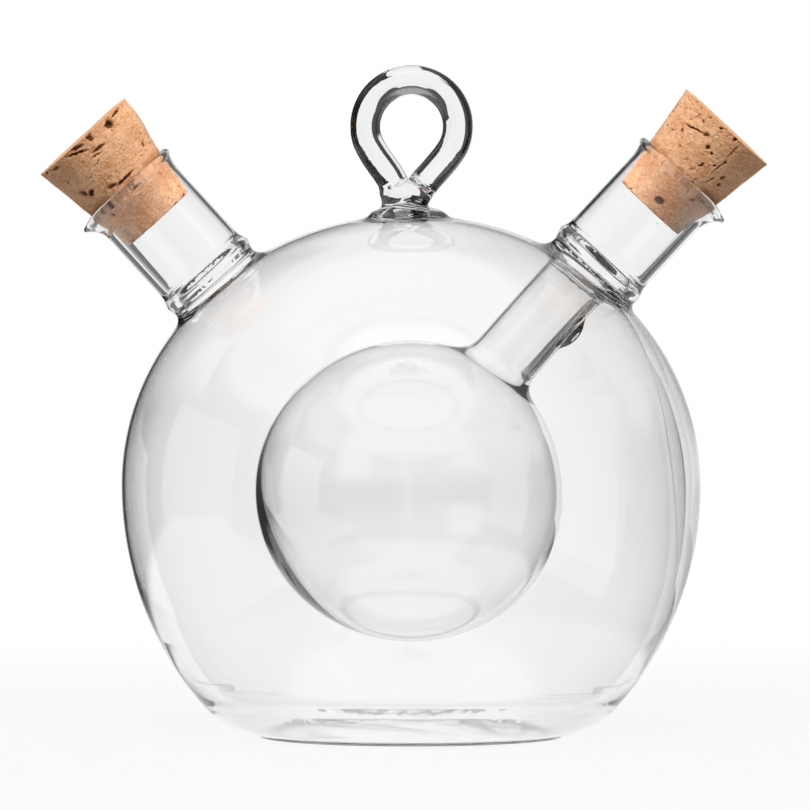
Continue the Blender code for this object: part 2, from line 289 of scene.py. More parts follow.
# Looks
WHITE = (1.0, 1.0, 1.0, 1.0)
GLASS_IOR = 1.47
GLASS_TINT = (0.50, 0.51, 0.50, 1.0)
GLASS_DENSITY = 25.0
CORK_PALE = (0.72, 0.41, 0.23, 1.0)
CORK_WARM = (0.60, 0.30, 0.145, 1.0)
CORK_OCHRE = (0.55, 0.23, 0.085, 1.0)
CORK_STREAK = (0.52, 0.26, 0.13, 1.0)
CORK_BROWN = (0.36, 0.16, 0.075, 1.0)
CORK_LIGHT = (0.80, 0.56, 0.38, 1.0)
CORK_RUST = (0.42, 0.17, 0.07, 1.0)
CORK_DARK = (0.14, 0.05, 0.025, 1.0)
# Where each layer of the cork's colour shows: its noise's scale, detail and squeeze along the
# cork, the noise where it starts and where it is full, and its greatest share
WARM_PATCHES = (0.22, 4.0, 1.0, 0.38, 0.62, 1.0)
OCHRE_STAINS = (0.32, 5.0, 1.6, 0.44, 0.60, 0.6)
FAINT_STREAKS = (0.7, 5.0, 3.0, 0.46, 0.66, 0.75)
BROWN_FLECKS = (1.3, 6.0, 2.2, 0.56, 0.66, 0.70)
LIGHT_SPECKS = (2.2, 3.0, 1.0, 0.54, 0.66, 0.45)
# The ochre stains start and are full below these heights in millimetres
OCHRE_HEIGHTS = (11.0, 6.0)
# The shares of a pit's depth, or of a stain and the painted rim shade, where its rusty and its
# dark colour start and are full
RUST_PITS = (0.02, 0.3)
RUST_SHARE = 0.75
DARK_PITS = (0.35, 1.0)
CLOUD_ROUGHNESS = 0.6
# The noise where the roughness starts and stops growing, and its least and greatest value
CORK_ROUGHNESS = (0.3, 0.7, 0.78, 0.95)
CORK_ROUGHNESS_CLOUD = (2.0, 2.0)
CORK_GLOSS = 0.25
CORK_BUMP = 0.05 * MM
CORK_BUMP_STRENGTH = 0.6
CORK_BUMP_CLOUD = (6.0, 3.0)
# The colour sockets of a Mix node
MIX_FIRST, MIX_SECOND, MIX_RESULT = 6, 7, 2

# The studio round the bottle, as the glass shows it. Each card is, in degrees, its bearing
# from the photograph's line of sight towards +X, half width, lowest and highest rise,
# softness of its edges, and then its brightness, where 1 is white.
CARDS_SEEN_THROUGH = (
    (0, 181, -40, 52, 6, 0.04),
    (180, 60, 12, 74, 12, 1.0),
    (0, 16, 17, 45, 6, 0.35),
    (-45, 13, -42, -13, 4, 1.0),
    (135, 14, -28, -4, 4, 1.0),
)
CARDS_MIRRORED = (
    (-60, 58, -16, 26, 9, 0.20),
    (-30, 16, -30, 40, 5, 0.02),
    (55, 47, -16, 50, 9, 0.50),
    (-150, 30, -14, 30, 9, 0.25),
    (180, 62, 0, 50, 10, 1.30),
    (180, 55, 58, 80, 10, 2.4),
)
# Each white panel behind the bottle: left and right end, and bottom and top
BACK_PANELS = (
    (-0.097, 0.115, 0.0, 0.138),
    (-0.025, 0.030, 0.13, 0.175),
    (0.11, 0.22, 0.0, 0.12),
)
PANEL_DISTANCE = 0.29
PANEL_SOFTNESS = 0.005
SHEET_START = 0.066
BACK_SHEET_ENDS = (-0.092, 0.098)
SHEET_SOFTNESS = 0.045
PANEL_WHITE = 0.955
SIDE_PANEL_REACH = 0.110
SIDE_PANEL_HEIGHT = 0.16
# A black card that stands behind the loop, edge on to the photograph's line of sight
LOOP_CARD_X = -0.001
LOOP_CARD_START = 0.004
LOOP_CARD_END = 0.0185
LOOP_CARD_LOW = 0.095
LOOP_CARD_HIGH = 0.1072
# Soft light on the corks, which grows with the rise of its direction, in the open and through
# the glass
FILL_LOW = 0.02
FILL_HIGH = 0.82
FILL_RISE = 0.8
FILL_THROUGH_GLASS = 0.18
TOP_FILL_THROUGH_GLASS = 6.6
# The floor fades out, is open to the glass further off, and has a painted contact shadow: it
# is darker in a ring where the bottle touches it
FLOOR_RADIUS = 0.30
FLOOR_FADE_START = 0.10
FLOOR_OPEN_START = 0.066
FLOOR_OPEN_END = 0.085
PAINTED_SHADOW_INSIDE = (0.0215, 0.0232)
PAINTED_SHADOW_OUTSIDE = (0.0266, 0.0250)
PAINTED_SHADOW_STRENGTH = 1.0
FLOOR_SIDES = 96
FLOOR_HEIGHT = -0.00005
FLOOR_COLOUR = (0.32, 0.32, 0.32, 1.0)
FLOOR_SHADE_SHARE = 0.09
SOFTBOX_PLACE = Vector((0.0, -0.45, 0.85))
SOFTBOX_SIZE = (0.6, 0.4)
SOFTBOX_WATTS = 10.5

# The camera, whose frame is a square as wide as this at the bottle
TARGET = Vector((-0.00103, 0.0, 0.05724))
FRAME_WIDTH = 0.13966
CAMERA_ELEVATION = math.radians(3)
CAMERA_DISTANCE = 4.0
CAMERA_CLIP = (0.05, 20.0)
SENSOR_WIDTH = 36.0


def length(*parts):
    return np.sqrt(sum(part * part for part in parts))


def smooth_min(a, b, reach):
    """Joins two shapes, flowing into each other over about reach."""
    share = np.clip(0.5 + 0.5 * (b - a) / reach, 0, 1)
    return b + (a - b) * share - reach * share * (1 - share)


def smooth_max(a, b, reach):
    return -smooth_min(-a, -b, reach)


def round_max(a, b, radius):
    """What two shapes share, with a rounded corner where they meet."""
    over_a = np.maximum(a + radius, 0)
    over_b = np.maximum(b + radius, 0)
    return np.minimum(np.maximum(a, b), -radius) + length(over_a, over_b)


def smooth_step(value):
    share = np.clip(value, 0, 1)
    return share * share * (3 - 2 * share)


def bell(value, centre, reach):
    return np.exp(-(((value - centre) / reach) ** 2))


def ellipsoid(x, y, z, radii):
    """Nearly the distance to an ellipsoid round the origin."""
    near = length(x / radii[0], y / radii[1], z / radii[2])
    steep = length(x / radii[0] ** 2, y / radii[1] ** 2, z / radii[2] ** 2) + TINY
    return near * (near - 1) / steep


def only_near(shape, low, high, margins, x, y, z):
    """A shape's distance in and round a box, and a far value elsewhere, which saves work."""
    x, y, z = np.broadcast_arrays(x, y, z)
    low = low - Vector((margins[0],) * 3)
    high = high + Vector((margins[1],) * 3)
    near = (x > low[0]) & (x < high[0])
    near &= (y > low[1]) & (y < high[1])
    near &= (z > low[2]) & (z < high[2])
    result = np.full(x.shape, FAR, np.float32)
    if near.any():
        result[near] = shape(x[near], y[near], z[near])
    return result


class Axis:
    """A slanted line through the middle of the bottle, with places along it and round it."""

    def __init__(self, direction, crossing):
        self.along = Vector(direction).normalized()
        self.crossing = crossing
        side = 1 if self.along.x > 0 else -1
        self.out = Vector((side * self.along.z, 0.0, -abs(self.along.x)))

    def places(self, x, z):
        """The distance along the axis, and the offset towards its outer, lower side."""
        rise = z - self.crossing
        along = x * self.along.x + rise * self.along.z
        out = x * self.out.x + rise * self.out.z
        return along, out


def neck_axis(side):
    """The axis of the cork that slides in this neck, as the joint and the cork state it."""
    joint = next(j for j in frame["joints"] if j["child"] == side + "_cork")
    direction = Vector(joint["axis"])
    corners = np.array([v.co for v in frame["nodes"][side + "_cork"].data.vertices])
    middle = corners.mean(0)
    return Axis(direction, middle[2] - middle[0] * direction.z / direction.x)


def rim_distance(side, axis):
    """How far along its axis a neck ends."""
    corners = np.array([v.co for v in frame["nodes"][side + "_neck"].data.vertices])
    return axis.places(corners[:, 0], corners[:, 2])[0].max()


SIDES = ("left", "right")
AXES = {side: neck_axis(side) for side in SIDES}
RIMS = {side: rim_distance(side, AXES[side]) for side in SIDES}
STEM_AXIS = Axis((math.sin(STEM_TILT), 0.0, math.cos(STEM_TILT)), STEM_CROSSING)
GLOBE_RADII = (GLOBE_HIGH.x - INSIDE_SKIN, GLOBE_HIGH.y - INSIDE_SKIN)
GLOBE_UPPER_RISE = GLOBE_HIGH.z - GLOBE_CENTRE_HEIGHT
BULB_RADIUS = (BULB_HIGH.x - BULB_LOW.x) / 2
BULB_CENTRE_HEIGHT = BULB_LOW.z + BULB_RADIUS - BULB_SQUAT


def globe_form(x, y, z):
    """The globe before its base is flattened."""
    rise = z - GLOBE_CENTRE_HEIGHT
    tall = np.where(rise > 0, GLOBE_UPPER_RISE, GLOBE_LOWER_RISE)
    return ellipsoid(x, y, rise, (*GLOBE_RADII, tall))


def globe_wall(x, y, z):
    """Blown glass is uneven: this wall is thick on the right and thin on the left."""
    across = x / length(x, y, AXIS_BLEND)
    thick_side = (0.5 + 0.5 * across) ** 2
    wall = THIN_WALL + THICK_WALL_GAIN * thick_side * bell(z, THICK_WALL_HEIGHT, THICK_WALL_REACH)
    wall = wall + HEEL_GAIN * bell(z, HEEL_HEIGHT, HEEL_REACH)
    return wall + CREASE_DEPTH * bell(z, CREASE_HEIGHT, CREASE_REACH)


def neck_coordinates(side, x, y, z):
    """Along and round a neck, with the pouring beak pulled out of its rim."""
    along, out = AXES[side].places(x, z)
    facing = np.clip(out / (length(out, y) + TINY), 0, 1)
    pull = facing ** BEAK_SHARPNESS * smooth_step((along - RIMS[side]) / BEAK_HEIGHT + 1)
    return along + BEAK_DROOP * pull, out, pull * BEAK_REACH


def neck_form(side):
    def distance(x, y, z):
        along, out, pull = neck_coordinates(side, x, y, z)
        flare = LIP_FLARE * smooth_step((along - RIMS[side]) / LIP_HEIGHT + 1)
        weld = WELD_GAIN * bell(along, weld_place(side), WELD_REACH)
        radial = length(out, y) - pull - flare - weld - NECK_RADIUS
        tube = smooth_max(radial, along - RIMS[side], LIP_ROUNDING)
        return np.maximum(tube, NECK_START - along)

    return distance


def neck_bore(side, start, spare):
    def distance(x, y, z):
        along, out, pull = neck_coordinates(side, x, y, z)
        flare = LIP_FLARE * smooth_step((along - RIMS[side]) / LIP_HEIGHT + 1)
        pinch = WELD_INSET * bell(along, weld_place(side), WELD_REACH)
        shift = NECK_SHIFT * (1 - smooth_step((along - RIMS[side]) / NECK_SHIFT_FADE + 1))
        bore = NECK_RADIUS - NECK_WALL - spare
        radial = length(out + shift, y) - pull - flare + pinch - bore
        return np.maximum(radial, start - along)

    return distance


def rim_bead(side):
    """The round bead that the flame leaves round a neck's mouth."""

    def distance(x, y, z):
        along, out, pull = neck_coordinates(side, x, y, z)
        radial = length(out, y) - pull - (NECK_RADIUS + LIP_FLARE - RIM_BEAD_INSET)
        return length(radial, along - RIMS[side] + RIM_BEAD) - RIM_BEAD

    return distance


def globe_place(side):
    """How far along a neck's axis the globe's surface lies, by bisection."""
    axis = AXES[side]
    near, far = NECK_START, RIMS[side]
    for _ in range(SURFACE_ROUNDS):
        middle = (near + far) / 2
        point = axis.along * middle + Vector((0, 0, axis.crossing))
        if globe_form(*map(np.float64, point)) < 0:
            near = middle
        else:
            far = middle
    return middle


SURFACES = {side: globe_place(side) for side in SIDES}


def weld_place(side):
    return SURFACES[side] + WELD_RISE


def stem_form(x, y, z):
    along, out = STEM_AXIS.places(x, z)
    flare = SEAL_FLARE * smooth_step((along - SURFACES["right"]) / SEAL_REACH + 1)
    tube = length(out, y) - STEM_RADIUS - flare
    tube = np.maximum(tube, along - SURFACES["right"])
    tube = np.maximum(tube, -along)
    blob = ellipsoid(
        along - BLOB_PLACE, out - BLOB_OFFSET, y, (BLOB_LENGTH, BLOB_WIDTH, BLOB_WIDTH)
    )
    return smooth_min(tube, blob, INNER_FILLET)


def stem_bore(x, y, z, spare):
    along, out = STEM_AXIS.places(x, z)
    bore = length(out + STEM_SHIFT, y) - (STEM_RADIUS - STEM_WALL - spare)
    bore = np.maximum(bore, -along)
    return np.maximum(bore, along - SURFACES["right"] - BEAK_HEIGHT)


def bulb_form(x, y, z):
    radii = (BULB_RADIUS, BULB_RADIUS, BULB_RADIUS - BULB_SQUAT)
    return ellipsoid(x, y, z - BULB_CENTRE_HEIGHT, radii)


def bulb_wall(x, y, z):
    rise = z - BULB_CENTRE_HEIGHT
    far = length(x, y, rise) + TINY
    towards = (x * BULB_THICK_SIDE.x + rise * BULB_THICK_SIDE.z) / far
    return BULB_WALL + BULB_THICK_GAIN * np.exp((towards - 1) * BULB_THICK_SHARPNESS)


def smooth_path(points, steps):
    """Points along a smooth curve through the given ones."""
    padded = [points[0] * 2 - points[1], *points, points[-1] * 2 - points[-2]]
    path = []
    for before, start, end, after in zip(padded, padded[1:], padded[2:], padded[3:]):
        for step in range(steps):
            t = step / steps
            path.append(
                0.5 * (
                    2 * start
                    + (end - before) * t
                    + (2 * before - 5 * start + 4 * end - after) * t * t
                    + (3 * start - before - 3 * end + after) * t ** 3
                )
            )
    return path + [points[-1]]


def loop_points():
    """The bent rod's middle line, from its left end over the ring to its right end."""
    ring = []
    first, last = map(math.radians, LOOP_RING_ENDS)
    for step in range(LOOP_RING_POINTS):
        angle = first + (last - first) * step / (LOOP_RING_POINTS - 1)
        ring.append(
            LOOP_CENTRE + Vector((math.cos(angle), 0, math.sin(angle))) * LOOP_RING_RADIUS
        )
    return smooth_path([*LOOP_LEFT_LEG, *ring, *LOOP_RIGHT_LEG], LOOP_PATH_STEPS)


LOOP_PATH = loop_points()


def loop_form(x, y, z):
    """The distance to the bent rod, the pad under it and the knot between them."""
    rod = np.full(x.shape, FAR, np.float32)
    for start, end in zip(LOOP_PATH, LOOP_PATH[1:]):
        run = end - start
        off = (x - start.x, y - start.y, z - start.z)
        ahead = off[0] * run.x + off[1] * run.y + off[2] * run.z
        share = np.clip(ahead / run.length_squared, 0, 1)
        gap = length(*(part - share * way for part, way in zip(off, run)))
        rod = np.minimum(rod, gap - LOOP_ROD_RADIUS)
    across = x - FOOT_CENTRE_X
    knot = ellipsoid(across, y, z - KNOT_HEIGHT, KNOT_RADII)
    uneven = 1 + FOOT_UNEVENNESS * np.sin(FOOT_LOBES * np.arctan2(y, across) + FOOT_TURN)
    wide = FOOT_RADIUS * uneven
    pad = ellipsoid(across, y, z - FOOT_HEIGHT, (wide, wide, FOOT_THICKNESS * uneven))
    return smooth_min(smooth_min(rod, knot, LOOP_FILLET), pad, LOOP_FILLET)


def glass(x, y, z, spare=0.0):
    """The distance to the fused glass, negative inside it. Spare thickens its walls inwards."""
    form = globe_form(x, y, z)
    body = round_max(form, -z, GLOBE_CORNER)
    for side in SIDES:
        neck = only_near(neck_form(side), *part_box(side + "_neck"), NECK_MARGINS, x, y, z)
        body = smooth_min(body, neck, NECK_FILLET)
    loop_low = Vector((LOOP_LOW.x, LOOP_LOW.y, FOOT_LOW.z))
    loop = only_near(loop_form, loop_low, LOOP_HIGH, LOOP_MARGINS, x, y, z)
    body = smooth_min(body, loop, FOOT_FILLET)

    wall = globe_wall(x, y, z) + spare
    cavity = round_max(form + wall, BASE_THICKNESS + spare - z, CAVITY_CORNER)
    body = smooth_max(body, -cavity, CARVE_ROUNDING)

    inner_high = Vector((STEM_HIGH[0], BULB_HIGH.y, STEM_HIGH[1]))

    def inner_form(x, y, z):
        return smooth_min(bulb_form(x, y, z), stem_form(x, y, z), STEM_FILLET)

    def inner_room(x, y, z):
        room = bulb_form(x, y, z) + bulb_wall(x, y, z) + spare
        return smooth_min(room, stem_bore(x, y, z, spare), STEM_FILLET)

    inner = only_near(inner_form, BULB_LOW, inner_high, INNER_MARGINS, x, y, z)
    body = smooth_min(body, inner, INNER_FILLET)
    room = only_near(inner_room, BULB_LOW, inner_high, INNER_MARGINS, x, y, z)
    body = smooth_max(body, -room, CARVE_ROUNDING)
    for side in SIDES:
        shape = neck_bore(side, SURFACES[side] + BORE_STARTS[side], spare)
        bore = only_near(shape, *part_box(side + "_neck"), NECK_MARGINS, x, y, z)
        body = smooth_max(body, -bore, CARVE_ROUNDING)
        bead = only_near(rim_bead(side), *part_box(side + "_neck"), NECK_MARGINS, x, y, z)
        body = smooth_min(body, bead, CARVE_ROUNDING)
    return body


def grid_distances(corner, counts):
    """The distance at every point of a grid, worked out only in blocks near the glass."""
    size = BLOCK_STEPS * GRID_STEP
    blocks = [corner[i] + size * (np.arange(counts[i] // BLOCK_STEPS) + 0.5) for i in range(3)]
    rough = glass(*np.meshgrid(*blocks, indexing="ij"), SPARE_WALL).astype(np.float32)
    for axis in range(3):
        rough = np.repeat(rough, BLOCK_STEPS, axis=axis)
    places = np.nonzero(np.abs(rough) < size)
    near = [(corner[i] + GRID_STEP * places[i]).astype(np.float32) for i in range(3)]
    rough[places] = glass(*near, SPARE_WALL)
    return rough


def surface_net(values, corner):
    """A point in each cell that the surface crosses, and a quad round each crossed edge."""
    inside = values < 0
    cells = tuple(n - 1 for n in inside.shape)
    count = np.zeros(cells, np.uint8)
    for i in (0, 1):
        for j in (0, 1):
            for k in (0, 1):
                count += inside[i:cells[0] + i, j:cells[1] + j, k:cells[2] + k]
    active = (count > 0) & (count < 8)
    number = (np.cumsum(active.ravel()) - 1).reshape(cells).astype(np.int32)
    points = corner + GRID_STEP * (np.argwhere(active) + 0.5)
    quads = []
    for axis in range(3):
        ahead = [slice(None)] * 3
        behind = [slice(None)] * 3
        ahead[axis] = slice(1, None)
        behind[axis] = slice(None, -1)
        start, end = inside[tuple(behind)], inside[tuple(ahead)]
        places = np.argwhere(start != end)
        first, second = [i for i in range(3) if i != axis]
        step_a, step_b = np.zeros(3, int), np.zeros(3, int)
        step_a[first], step_b[second] = 1, 1
        ring = [places - step_a - step_b, places - step_b, places, places - step_a]
        corners = np.stack([number[tuple(r.T)] for r in ring], axis=1)
        flip = start[tuple(places.T)] == (axis == 1)
        corners[flip] = corners[flip][:, ::-1]
        quads.append(corners)
    return points, np.concatenate(quads)


def slopes(points, spare):
    """The distance at each point, and the direction in which it grows."""
    x, y, z = points.T
    step = SLOPE_STEP
    here = glass(x, y, z, spare)
    ahead = [
        glass(x + step, y, z, spare),
        glass(x, y + step, z, spare),
        glass(x, y, z + step, spare),
    ]
    return here, (np.stack(ahead, axis=1) - here[:, None]) / step


def projected(points, spare=0.0):
    """Points moved along the slope onto the surface."""
    here, slope = slopes(points, spare)
    steep = np.maximum((slope ** 2).sum(1), LEAST_SLOPE)
    move = -(here / steep)[:, None] * slope
    reach = np.maximum(np.linalg.norm(move, axis=1), TINY)
    return points + move * np.minimum(1, GRID_STEP / reach)[:, None]


def relaxed(points, quads):
    """Each point moved half way to the middle of its neighbours."""
    start = quads[:, (0, 1, 1, 2, 2, 3, 3, 0)].ravel()
    end = quads[:, (1, 0, 2, 1, 3, 2, 0, 3)].ravel()
    count = np.maximum(np.bincount(start, minlength=len(points)), 1)
    middle = [
        np.bincount(start, points[end, i], minlength=len(points)) / count for i in range(3)
    ]
    return (points + np.stack(middle, axis=1)) / 2


def mesh_of(name, points, faces):
    """A mesh from arrays of points and of faces with the same number of corners."""
    mesh = bpy.data.meshes.new(name)
    mesh.vertices.add(len(points))
    mesh.vertices.foreach_set("co", points.astype(np.float32).ravel())
    mesh.loops.add(faces.size)
    mesh.loops.foreach_set("vertex_index", faces.astype(np.int32).ravel())
    mesh.polygons.add(len(faces))
    starts = np.arange(len(faces), dtype=np.int32) * faces.shape[1]
    mesh.polygons.foreach_set("loop_start", starts)
    mesh.update(calc_edges=True)
    mesh.validate()
    return mesh


def points_of(mesh):
    flat = np.zeros(len(mesh.vertices) * 3, np.float32)
    mesh.vertices.foreach_get("co", flat)
    return flat.reshape(-1, 3).astype(np.float64)


def added(name, data):
    """A new object in the scene."""
    obj = bpy.data.objects.new(name, data)
    bpy.context.scene.collection.objects.link(obj)
    return obj


def fused_glass():
    """All the glass as one body, as the lamp leaves it."""
    margin = Vector((GRID_MARGIN,) * 3)
    corner = np.array(cad_box[0] - margin)
    size = np.array(cad_box[1] + margin) - corner
    counts = np.ceil(size / GRID_STEP / BLOCK_STEPS).astype(int) * BLOCK_STEPS
    values = grid_distances(corner, counts)
    points, quads = surface_net(values, corner)
    for _ in range(RELAX_ROUNDS):
        points = projected(relaxed(points, quads), SPARE_WALL)
    for _ in range(PROJECT_ROUNDS):
        points = projected(points)
    obj = added("fused_glass", mesh_of("fused_glass", points, quads))
    thin = obj.modifiers.new("thin", "DECIMATE")
    thin.ratio = FACE_SHARE
    evaluated = obj.evaluated_get(bpy.context.evaluated_depsgraph_get())
    mesh = bpy.data.meshes.new_from_object(evaluated)
    obj.modifiers.clear()
    points = points_of(mesh)
    points = projected(projected(points))
    mesh.vertices.foreach_set("co", points.astype(np.float32).ravel())
    mesh.update()
    slope = slopes(points, 0.0)[1]
    slope /= np.maximum(np.linalg.norm(slope, axis=1), TINY)[:, None]
    mesh.shade_smooth()
    mesh.normals_split_custom_set_from_vertices(slope.astype(np.float32))
    obj.data = mesh
    return obj


def cork_outline(low_radius, high_radius, height):
    """Half the cork's outline, from the middle of its small end to the middle of its large end."""
    slant = math.atan2(high_radius - low_radius, height)
    rows = []
    inner = low_radius - CORK_EDGE
    for step in range(CORK_CAP_ROWS):
        rows.append((inner * (step + 0.5) / CORK_CAP_ROWS, 0.0, 0.0, -1.0))
    for step in range(CORK_EDGE_ROWS):
        turn = -math.pi / 2 + (math.pi / 2 - slant) * step / CORK_EDGE_ROWS
        across, up = math.cos(turn), math.sin(turn)
        rows.append((inner + CORK_EDGE * across, CORK_EDGE * (1 + up), across, up))
    for step in range(CORK_ROWS + 1):
        rise = CORK_EDGE + (height - 2 * CORK_EDGE) * step / CORK_ROWS
        radius = low_radius + (high_radius - low_radius) * rise / height
        rows.append((radius, rise, math.cos(slant), -math.sin(slant)))
    inner = high_radius - CORK_EDGE
    for step in range(1, CORK_EDGE_ROWS + 1):
        turn = -slant + (math.pi / 2 + slant) * step / CORK_EDGE_ROWS
        across, up = math.cos(turn), math.sin(turn)
        rows.append((inner + CORK_EDGE * across, height - CORK_EDGE * (1 - up), across, up))
    for step in reversed(range(CORK_CAP_ROWS)):
        rows.append((inner * (step + 0.5) / CORK_CAP_ROWS, height, 0.0, 1.0))
    return np.array(rows)


def noise_at(places, size):
    """Smooth noise from -1 to 1 at each place, with lumps of about this size."""
    return np.array([noise.noise(Vector(place)) for place in places / size])


def noise_vectors(places, size):
    return np.array([noise.noise_vector(Vector(place)) for place in places / size])


def pit_list(side, radius_at, height, rng):
    """The cork's pits: middle, long, short and outward direction, half sizes and depth."""
    pits = []
    for rise, across, half_length, half_width, turn, depth in CORK_PITS[side]:
        radius = radius_at(rise * MM)
        angle = math.asin(max(-PIT_FARTHEST, min(PIT_FARTHEST, across * MM / radius)))
        sizes = (half_length * MM, half_width * MM, turn, depth * MM)
        pits.append((rise * MM, radius, angle, *sizes))
    least, most, more = PIT_WIDTHS
    for _ in range(RANDOM_PITS):
        rise = rng.uniform(0, height)
        angle = rng.uniform(-math.pi, math.pi)
        grow = 1.0 if abs(angle) > math.pi / 2 else FRONT_PIT_SHARE
        half_width = rng.uniform(least, most + more * grow * rng.random() ** 2) * MM
        half_length = half_width * rng.uniform(1, PIT_STRETCH)
        depth = half_width * rng.uniform(*PIT_DEPTHS)
        turn = rng.uniform(-PIT_TURN, PIT_TURN)
        pits.append((rise, radius_at(rise), angle, half_length, half_width, turn, depth))
    result = []
    for rise, radius, angle, half_length, half_width, turn, depth in pits:
        outward = np.array((math.sin(angle), math.cos(angle), 0.0))
        round_way = np.array((math.cos(angle), -math.sin(angle), 0.0))
        up = np.array((0.0, 0.0, 1.0))
        lean = math.radians(turn)
        long_way = round_way * math.cos(lean) + up * math.sin(lean)
        short_way = up * math.cos(lean) - round_way * math.sin(lean)
        middle = outward * radius + up * rise
        result.append((middle, long_way, short_way, outward, half_length, half_width, depth))
    least, most, more = END_PIT_WIDTHS
    for end in (0.0, height):
        for _ in range(RANDOM_END_PITS):
            reach = radius_at(end) * math.sqrt(rng.random())
            angle = rng.uniform(-math.pi, math.pi)
            middle = np.array((reach * math.sin(angle), reach * math.cos(angle), end))
            half_width = rng.uniform(least, most + more * rng.random() ** 2) * MM
            half_length = half_width * rng.uniform(1, PIT_STRETCH)
            result.append((middle, *np.eye(3), half_length, half_width, half_width))
    return result


def turned_round(across, along):
    """Each row of an outline, or of its directions, turned round the cork's axis."""
    angles = np.arange(CORK_COLUMNS) * 2 * math.pi / CORK_COLUMNS
    rise = np.repeat(along[:, None], CORK_COLUMNS, 1)
    parts = (np.outer(across, np.sin(angles)), np.outer(across, np.cos(angles)), rise)
    return np.stack(parts, 2).reshape(-1, 3)


def pit_marks(places, pits):
    """How deep the pits sink each place, and how far it lies in the ring round a pit."""
    ragged = places + PIT_RAGGEDNESS * noise_vectors(places, PIT_RAGGED_SIZE)
    sunk, halo = np.zeros(len(places)), np.zeros(len(places))
    for centre, long_way, short_way, facing, half_length, half_width, depth in pits:
        offset = ragged - centre
        near = np.flatnonzero(np.abs(offset).max(1) < half_length * HALO_REACH)
        offset = offset[near]
        reach = length(offset @ long_way / half_length, offset @ short_way / half_width)
        same_side = np.abs(offset @ facing) < half_length + MM
        inside = same_side * (1 - smooth_step((reach - PIT_FLOOR) / PIT_SLOPE))
        sunk[near] = np.maximum(sunk[near], depth * inside)
        around = same_side * (1 - smooth_step((reach - HALO_START) / (HALO_REACH - HALO_START)))
        halo[near] = np.maximum(halo[near], around * min(1, half_length / HALO_FULL_PIT))
    return sunk, halo


def crack_depths(places):
    fine = CRACK_FINE_SHARE * noise_at(places + CRACK_SHIFTS[0], CRACK_SIZES[1])
    winding = noise_at(places, CRACK_SIZES[0]) + fine
    cracks = np.clip(1 - np.abs(winding) / CRACK_WIDTH, 0, 1)
    patches = noise_at(places + CRACK_SHIFTS[1], CRACK_PATCHES)
    return CRACK_DEPTH * (cracks * smooth_step(CRACK_PATCH_CONTRAST * patches))


def stains_and_rim_shade(places, halo, rim):
    """How rusty each place is round the pits, and how rusty and darkened by painted shade where
    the neck's rim presses.
    """
    # Painted shade: a band darkened where the neck's rim meets the cork, together with a rusty
    # stain
    rim_stain_and_shade = bell(places[:, 2], rim, RIM_STAIN_AND_SHADE_REACH)
    rim_stain_and_shade *= RIM_STAIN_AND_SHADE * smooth_step(RIM_STAIN_AND_SHADE_COVER + noise_at(places, RIM_STAIN_AND_SHADE_SIZE))
    cover = smooth_step(HALO_COVER + HALO_CONTRAST * noise_at(places, HALO_SIZE))
    return np.maximum(rim_stain_and_shade, HALO * halo * cover)


def swelling(places, height):
    """The left cork's bulge near its large end, on its inner, upper side."""
    around = places[:, 0] / np.maximum(length(places[:, 0], places[:, 1]), MM)
    swell = CORK_SWELL * np.clip(-around, 0, 1) ** 2
    return swell * bell(places[:, 2], CORK_SWELL_PLACE * height, CORK_SWELL_REACH * height)


def cork_mesh(side, places):
    """A closed skin over the rows of places."""
    grid = np.arange(len(places)).reshape(-1, CORK_COLUMNS)
    beside = np.roll(grid, -1, axis=1)
    faces = np.stack((grid[:-1], beside[:-1], beside[1:], grid[1:]), 2).reshape(-1, 4).tolist()
    faces += [grid[0][::-1].tolist(), grid[-1].tolist()]
    # The left cork's outer side is at -X, which mirrors it and would turn its faces inside out
    if side == "left":
        faces = [face[::-1] for face in faces]
    mesh = bpy.data.meshes.new(side + "_natural_cork")
    mesh.from_pydata(places.tolist(), [], faces)
    mesh.shade_smooth()
    return mesh


def cork(side):
    """A tapered natural cork with its pits and splits cut into the mesh."""
    axis = AXES[side]
    solid = points_of(frame["nodes"][side + "_cork"].data)
    along, out = axis.places(solid[:, 0], solid[:, 2])
    radial = length(out, solid[:, 1])
    start, height = along.min() + CORK_SKIN, along.max() - along.min() - 2 * CORK_SKIN
    middle = (along.min() + along.max()) / 2
    low_radius = radial[along < middle].max() - CORK_SKIN
    high_radius = radial.max() - CORK_SKIN

    def radius_at(rise):
        return low_radius + (high_radius - low_radius) * rise / height

    rows = cork_outline(low_radius, high_radius, height)
    places = turned_round(rows[:, 0], rows[:, 1])
    outward = turned_round(rows[:, 2], rows[:, 3])
    rng = np.random.default_rng(SIDES.index(side) + CORK_SEED)
    sunk, halo = pit_marks(places, pit_list(side, radius_at, height, rng))
    sunk = np.maximum(sunk, crack_depths(places))
    ripple = CORK_RIPPLE * (0.5 + 0.5 * noise_at(places, CORK_RIPPLE_SIZE))
    grit = CORK_GRIT * (0.5 + 0.5 * noise_at(places, CORK_GRIT_SIZE))
    moved = places - outward * (sunk + ripple + grit)[:, None]
    if side == "left":
        moved += outward * swelling(places, height)[:, None]
    front, up = np.array((0.0, -1.0, 0.0)), np.array(axis.along)
    world = (
        np.array((0, 0, axis.crossing))
        + np.outer(start + moved[:, 2], up)
        + np.outer(moved[:, 0], np.array(axis.out))
        + np.outer(moved[:, 1], front)
    )
    mesh = cork_mesh(side, world)
    shade = np.clip(sunk / PIT_COLOUR_DEPTH, 0, 1)
    # The stains include the rusty band with painted shade where the neck's rim presses
    shade = np.maximum(shade, stains_and_rim_shade(places, halo, RIMS[side] - start))
    pit_stain_and_shade = mesh.attributes.new("pit_stain_and_shade", "FLOAT", "POINT")
    pit_stain_and_shade.data.foreach_set("value", shade.astype(np.float32))
    grain = mesh.attributes.new("grain", "FLOAT_VECTOR", "POINT")
    grain.data.foreach_set("vector", (places / MM).astype(np.float32).ravel())
    return added(side + "_natural_cork", mesh)


